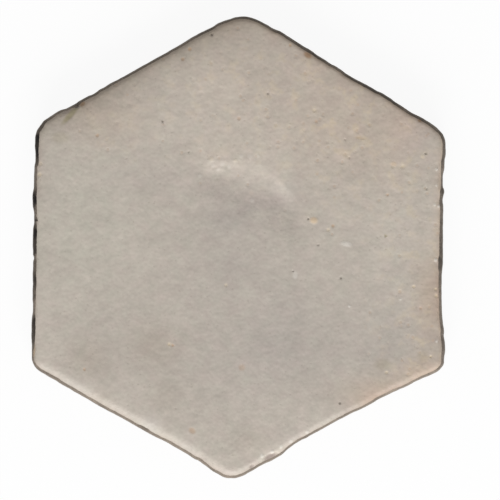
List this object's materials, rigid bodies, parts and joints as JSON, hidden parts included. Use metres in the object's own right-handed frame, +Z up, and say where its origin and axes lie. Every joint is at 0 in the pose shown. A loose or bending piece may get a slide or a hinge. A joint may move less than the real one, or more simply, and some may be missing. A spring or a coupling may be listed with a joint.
{
  "type": "hexagon floor tile",
  "caption": "Hand-made hexagonal floor tile: a glazed face with a rolled rim, softly bowed sides, unequally rounded corners and a flat bare clay back that lies on the floor.",
  "frame": {"origin": "middle of the bare back face, on the floor that the tile lies on", "axes": "+Z up through the glazed face, +Y towards the tile's top corner as pictured, +X towards its right side"},
  "size_m": [0.151, 0.1684, 0.015],
  "materials": {
    "glazed_clay": "satin off-white glaze over fired clay"
  },
  "bodies": {
    "root": {"hexagon_tile": "glazed_clay"}
  },
  "joints": []
}
